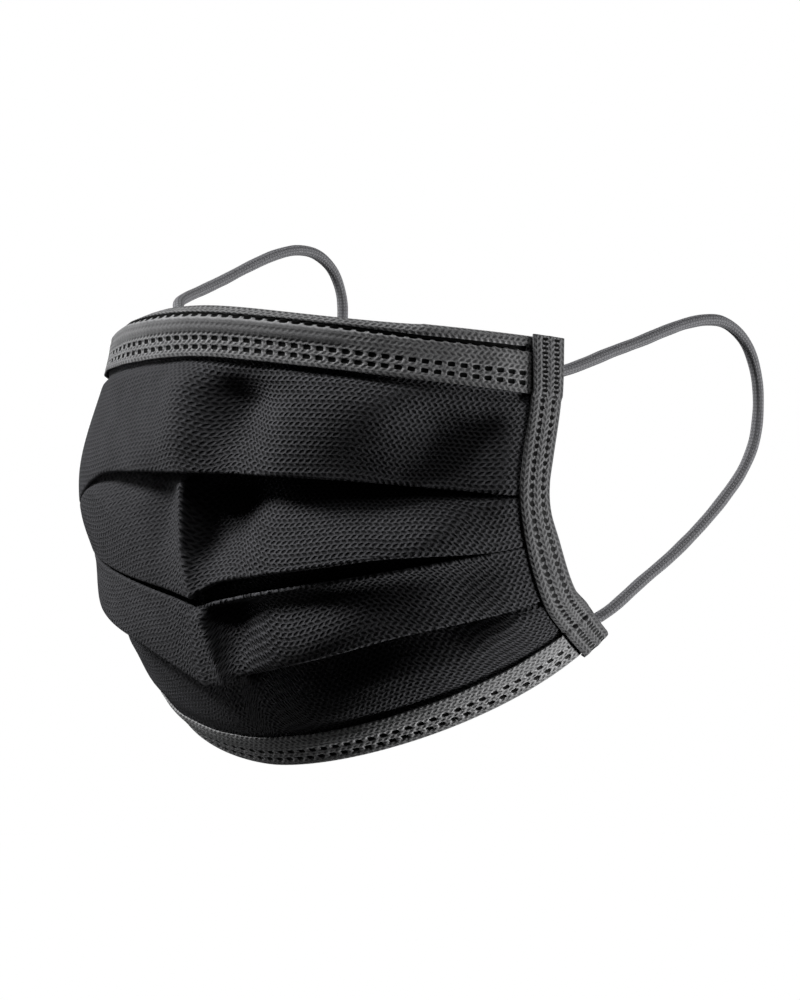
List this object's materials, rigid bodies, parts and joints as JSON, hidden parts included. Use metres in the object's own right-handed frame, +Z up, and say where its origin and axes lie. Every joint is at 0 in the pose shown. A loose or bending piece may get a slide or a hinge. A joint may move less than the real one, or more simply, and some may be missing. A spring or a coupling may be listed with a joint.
{
  "type": "disposable pleated face mask",
  "caption": "Pleated nonwoven face mask in its worn form, with welded edge bindings, a raised nose wire channel and round elastic ear loops",
  "frame": {"origin": "where the back of the top hem sits on the bridge of the nose, on the centre crease", "axes": "+X to the wearer's left, +Y from the mask toward the face, +Z up; the front of the mask faces -Y"},
  "size_m": [0.1412, 0.1352, 0.1271],
  "materials": {
    "panel_fabric": "matte embossed nonwoven",
    "binding_fabric": "matte embossed nonwoven with weld marks",
    "elastic_cord": "matte knitted elastic"
  },
  "bodies": {
    "root": {"pleated_panel": "panel_fabric", "top_hem": "binding_fabric", "bottom_hem": "binding_fabric", "side_binding_left": "binding_fabric", "side_binding_right": "binding_fabric", "ear_loop_left": "elastic_cord", "ear_loop_right": "elastic_cord"}
  },
  "joints": []
}
